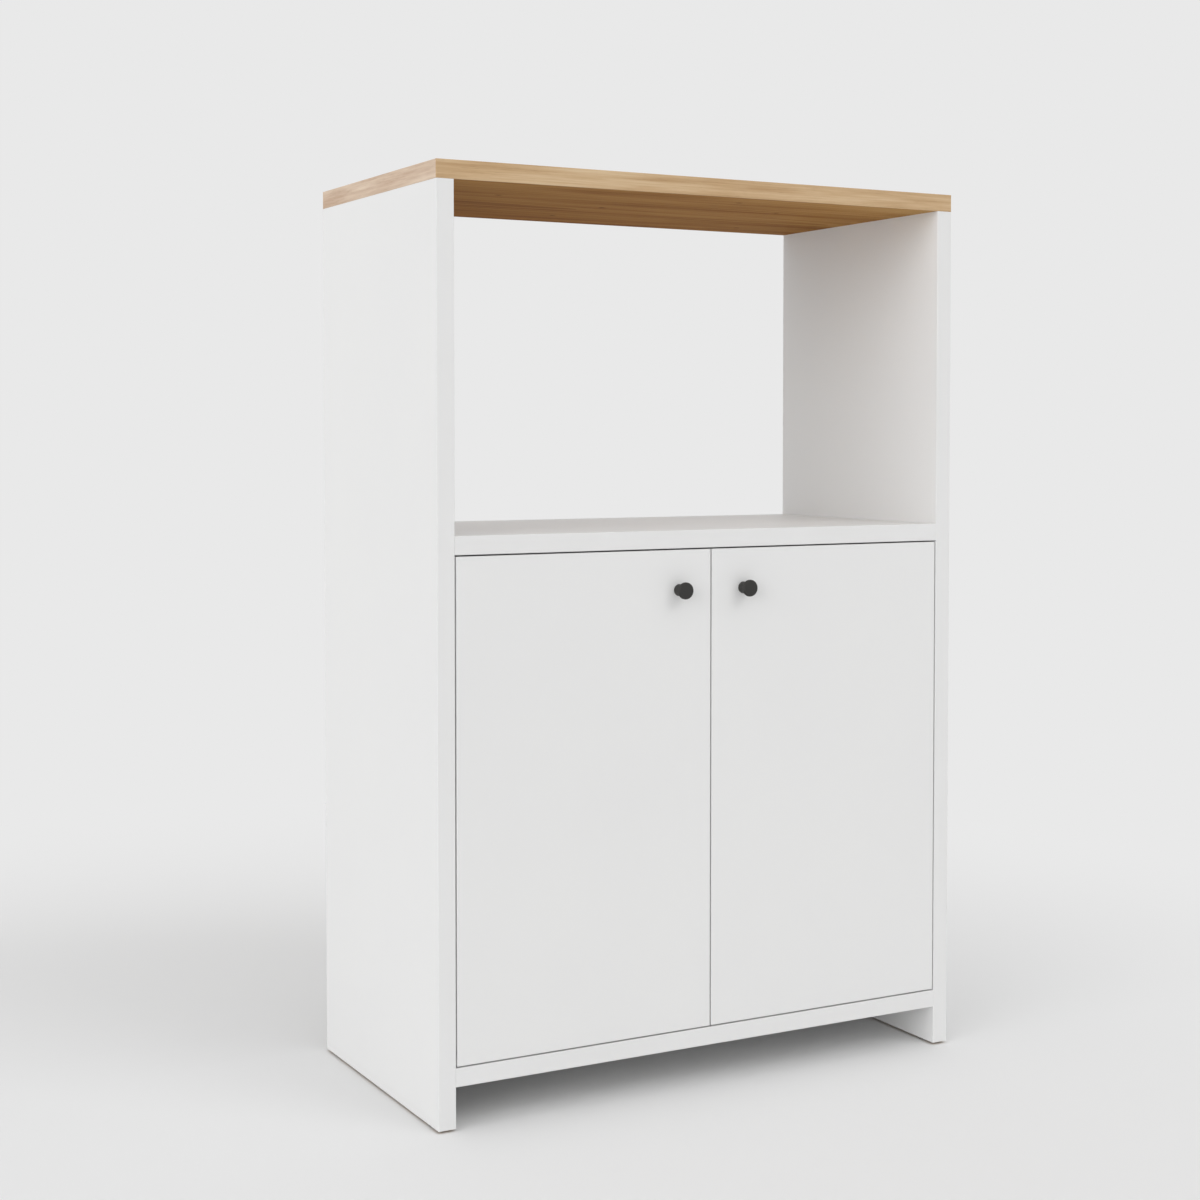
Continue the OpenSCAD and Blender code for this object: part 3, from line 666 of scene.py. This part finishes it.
def screw_pattern(name, profile, length, width, depth):
    """A turned screw with a cross for the driver, whose arms narrow towards the point."""
    screw = turned(name, profile, TURNED_SEGMENTS)
    for long_x, long_y in ((length, width), (width, length)):
        corner = Vector((long_x, long_y, depth)) / 2 * MM
        blade = block("cross_blade", Vector((-corner.x, -corner.y, -depth * MM)), corner)
        edit_edges(blade, lambda a, b: max(a.z, b.z) < 0)
        bpy.ops.transform.resize(value=(CROSS_POINT, CROSS_POINT, 1), center_override=(0, 0, 0))
        bpy.ops.object.mode_set(mode="OBJECT")
        cut_out(screw, blade)
        bpy.data.objects.remove(blade)
    return screw


def in_flute(corner):
    """Every second corner of a dowel's widest rings."""
    step = round(math.atan2(corner.y, corner.x) * TURNED_SEGMENTS / math.tau)
    return step % 2 == 1 and math.hypot(corner.x, corner.y) > DOWEL_RADIUS * MM - CLOSE


def set_in(pattern, node, direction, body, material, mirrored=False):
    """A copy of the pattern in the place of each solid of a node, its head's face towards this direction.

    Where mirrored, the direction is the left side's, and the right side has the opposite one.
    """
    copies = []
    for count, (low, high) in enumerate(solids(node)):
        place = (low + high) / 2
        towards = -Vector(direction) if mirrored and place.x > 0 else Vector(direction)
        for axis in (X, Y, Z):
            if towards[axis]:
                place[axis] = (high if towards[axis] > 0 else low)[axis]
        twin = copy_of(pattern, f"{pattern.name}_{count}")
        turn_to(twin, towards, place, spin=SPIN_BY_COUNT * count + SPIN_BY_HEIGHT * place.z)
        copies.append(twin)
    piece = join(copies, f"turned_{node}")
    smooth(piece)
    finish_piece(piece, body, node, material)


wood_screw = screw_pattern("wood_screw", [
    (0.2, -14), (1.1, -12.4), *thread(1.15, 1.7, -12.3, -3.2, 1.3), (1.25, -2.6), (1.7, -1.95),
    (3.36, -0.1), (3.4, -0.03), (3.3, 0),
], length=3.6, width=0.75, depth=1.3)
arm_screw = screw_pattern("arm_screw", [
    (1.9, -8.6), (2.1, -8.3), *thread(2.1, 2.45, -8.3, -2.2, 0.8), (2.1, -1.6),
    (3.8, -1.6), (3.95, -1.45), (4, -0.8), (3.85, -0.4), (3.4, -0.12), (2.8, 0),
], length=4.4, width=0.9, depth=1.2)
handle_screw = screw_pattern("knob_screw", [
    (1.4, -28.2), (1.65, -27.9), *thread(1.65, 1.95, -27.9, -6, 0.7), (1.9, -5.6), (1.9, -2.2),
    (3.8, -2.2), (4, -2), (4, -1.35), (3.85, -0.85), (3.4, -0.4), (2.6, -0.1), (1.4, 0),
], length=4.2, width=0.85, depth=1.4)
cam_bolt = screw_pattern("cam_bolt", [
    (0.7, -43), (2, -42.4), *thread(2.1, 3, -42.4, -34.3, 1.35), (2.1, -34), (2.5, -33.8),
    (2.5, -4.6), (1.9, -4.1), (1.9, -3.2), (2.7, -3), (3.35, -2.5), (3.5, -2), (3.5, -1),
    (3.3, -0.45), (2.8, -0.1), (2.2, 0),
], length=3.4, width=0.7, depth=1.2)
dowel = turned("fluted_dowel", [
    (3, -30), (3.85, -29.15), (4, -28.8), (4, -1.2), (3.85, -0.85), (3, 0),
], TURNED_SEGMENTS)
edit_edges(dowel, lambda a, b: in_flute(a) and in_flute(b))
flute_share = 1 - FLUTE_DEPTH / DOWEL_RADIUS
bpy.ops.transform.resize(value=(flute_share, flute_share, 1), center_override=(0, 0, 0))
bpy.ops.object.mode_set(mode="OBJECT")
set_in(cam_bolt, "cam_bolts", (1, 0, 0), "cabinet", zinc, mirrored=True)
set_in(dowel, "carcass_dowels", (1, 0, 0), "cabinet", beech)
set_in(dowel, "worktop_dowels", (0, 0, 1), "cabinet", beech)
for side, inward in zip(SIDES, (1, -1)):
    set_in(wood_screw, f"plate_screws_{side}", (inward, 0, 0), "cabinet", zinc)
    set_in(arm_screw, f"arm_screws_{side}", (inward, 0, 0), "cabinet", zinc)
    set_in(wood_screw, f"cup_screws_{side}", (0, 1, 0), f"{side}_door", zinc)
    set_in(handle_screw, f"knob_screw_{side}", (0, 1, 0), f"{side}_door", zinc)

glide = turned("nail_on_glide", [
    (4, 0), (6.2, 0.12), (7.2, 0.4), (7.75, 0.8), (7.97, 1.3), (7.97, 2.2), (7.8, 2.42), (7.5, 2.5),
    (1, 2.5), (1, 15.4), (0.25, 16.5),
], TURNED_SEGMENTS)
turn_to(glide, (0, 0, -1))
set_in(glide, "foot_glides", (0, 0, -1), "cabinet", polyethylene)
for pattern in (wood_screw, arm_screw, handle_screw, cam_bolt, dowel, glide):
    bpy.data.objects.remove(pattern)


# ---- Pressed and cast fittings ----

# How far the edges of pressed, drawn, turned and cast fittings are rounded, in mm
PRESSED_ROUND = 0.3
DRAWN_ROUND = 0.2
TURNED_ROUND = 0.4
CAST_ROUND = 0.3


def softened(node, body, material, width):
    """A node's shape with its sharp edges rounded by this width, in mm."""
    piece = merged_copy(node, f"rounded_{node}")
    apply_modifier(
        piece, "BEVEL", width=width * MM, segments=3, limit_method="ANGLE", angle_limit=BENT_ANGLE)
    smooth(piece)
    finish_piece(piece, body, node, material)


for side in SIDES:
    softened(f"hinge_plates_{side}", "cabinet", nickel, PRESSED_ROUND)
    softened(f"hinge_arms_{side}", "cabinet", nickel, PRESSED_ROUND)
    softened(f"arm_pins_{side}", "cabinet", zinc, PRESSED_ROUND)
    softened(f"hinge_levers_{side}", f"{side}_levers", nickel, PRESSED_ROUND)
    softened(f"lever_pins_{side}", f"{side}_levers", zinc, PRESSED_ROUND)
    softened(f"hinge_cups_{side}", f"{side}_door", nickel, DRAWN_ROUND)
softened("shelf_pins", "cabinet", zinc, TURNED_ROUND)
softened("cam_locks", "cabinet", zinc_cast, CAST_ROUND)


# ---- Studio ----

# In metres. The floor's paper fades between two distances from a centre beside the object
FLOOR_SIZE = 40
FADE_CENTRE = (-0.3, 0, 0)
FADE_START = 0.55
FADE_END = 1.6
BACKGROUND = "#e9e9e9"
FLOOR = "#e9e9e9"


def light_path_share(material):
    """1 for what the camera sees, also in metal and glass, and 0 for what lights the object."""
    path = add_node(material, "LightPath")
    seen = path.outputs["Is Camera Ray"]
    for kind in ("Is Glossy Ray", "Is Transmission Ray"):
        seen = add_node(material, "Math", {0: seen, 1: path.outputs[kind]}, operation="MAXIMUM")
    return seen


def floor_paper():
    """Seamless studio paper, which fades into the background behind the object."""
    material, shader, place = new_material("studio_paper", Roughness=0.95, IOR=1.3)
    shader.inputs["Base Color"].default_value = colour(FLOOR)
    distance = add_node(material, "VectorMath", {0: place, 1: FADE_CENTRE}, operation="DISTANCE")
    far = add_node(material, "MapRange", {
        "Value": distance.outputs["Value"], "From Min": FADE_START, "From Max": FADE_END,
    }, interpolation_type="SMOOTHSTEP")
    share = add_node(material, "Math", {0: far, 1: light_path_share(material)}, operation="MULTIPLY")
    glow = add_node(material, "Emission", {"Color": colour(BACKGROUND), "Strength": 1})
    mixed = add_node(material, "MixShader", {0: share, 1: shader, 2: glow})
    surface = material.node_tree.nodes["Material Output"].inputs["Surface"]
    material.node_tree.links.new(mixed.outputs[0], surface)
    return material


bpy.ops.object.select_all(action="DESELECT")
bpy.ops.mesh.primitive_plane_add(size=FLOOR_SIZE, location=(0, 0, 0))
floor = bpy.context.object
floor.name = "studio_floor"
floor.data.materials.append(floor_paper())

# The room's light: what comes from all round, and what is added towards the front and overhead
AROUND = 0.2
FROM_FRONT = 0.19
FROM_ABOVE = 0.82
world = bpy.data.worlds.new("studio")
bpy.context.scene.world = world
world.use_nodes = True
direction = add_node(world, "TexCoord").outputs["Generated"]
glow = AROUND
for towards, strength in (((0, -1, 0), FROM_FRONT), ((0, 0, 1), FROM_ABOVE)):
    share = add_node(world, "VectorMath", {0: direction, 1: towards}, operation="DOT_PRODUCT")
    share = add_node(world, "Math", {0: share.outputs["Value"], 1: 0}, operation="MAXIMUM")
    glow = add_node(world, "Math", {0: share, 1: strength, 2: glow}, operation="MULTIPLY_ADD")
ambient = world.node_tree.nodes["Background"]
ambient.inputs["Color"].default_value = (1, 1, 1, 1)
world.node_tree.links.new(glow.outputs[0], ambient.inputs["Strength"])
backdrop = add_node(world, "Background", {"Color": colour(BACKGROUND), "Strength": 1})
sky = add_node(world, "MixShader", {0: light_path_share(world), 1: ambient, 2: backdrop})
world.node_tree.links.new(sky.outputs[0], world.node_tree.nodes["World Output"].inputs["Surface"])


def soft_sun(name, towards, level, spread):
    """A distant soft lamp in this direction. Its level is what a white face turned to it shows."""
    lamp = bpy.data.lights.new(name, "SUN")
    lamp.energy = level * math.pi
    lamp.angle = math.radians(spread)
    holder = bpy.data.objects.new(name, lamp)
    holder.rotation_euler = Vector(towards).to_track_quat("Z", "Y").to_euler()
    bpy.context.scene.collection.objects.link(holder)


soft_sun("key", towards=(0.6, -1, 0.92), level=0.13, spread=30)
soft_sun("fill", towards=(-1, -0.4, 0.15), level=0.49, spread=50)

# The photograph's viewpoint. The camera looks down by its tilt and to the right by its turn, in degrees.
# Its lens and sensor are in mm, and its shift is a share of the picture's width
CAMERA_PLACE = Vector((-1056.6, -1852.4, 658.4)) * MM
CAMERA_TILT = 2
CAMERA_TURN = 28.49
LENS_LENGTH = 60.12
LENS_SHIFT = -0.0789
SENSOR_WIDTH = 36
lens = bpy.data.cameras.new("camera")
lens.lens = LENS_LENGTH
lens.sensor_width = SENSOR_WIDTH
lens.shift_y = LENS_SHIFT
camera = bpy.data.objects.new("camera", lens)
camera.location = CAMERA_PLACE
camera.rotation_euler = (math.radians(90 - CAMERA_TILT), 0, math.radians(-CAMERA_TURN))
bpy.context.scene.collection.objects.link(camera)
bpy.context.scene.camera = camera
bpy.context.scene.view_settings.view_transform = "Standard"
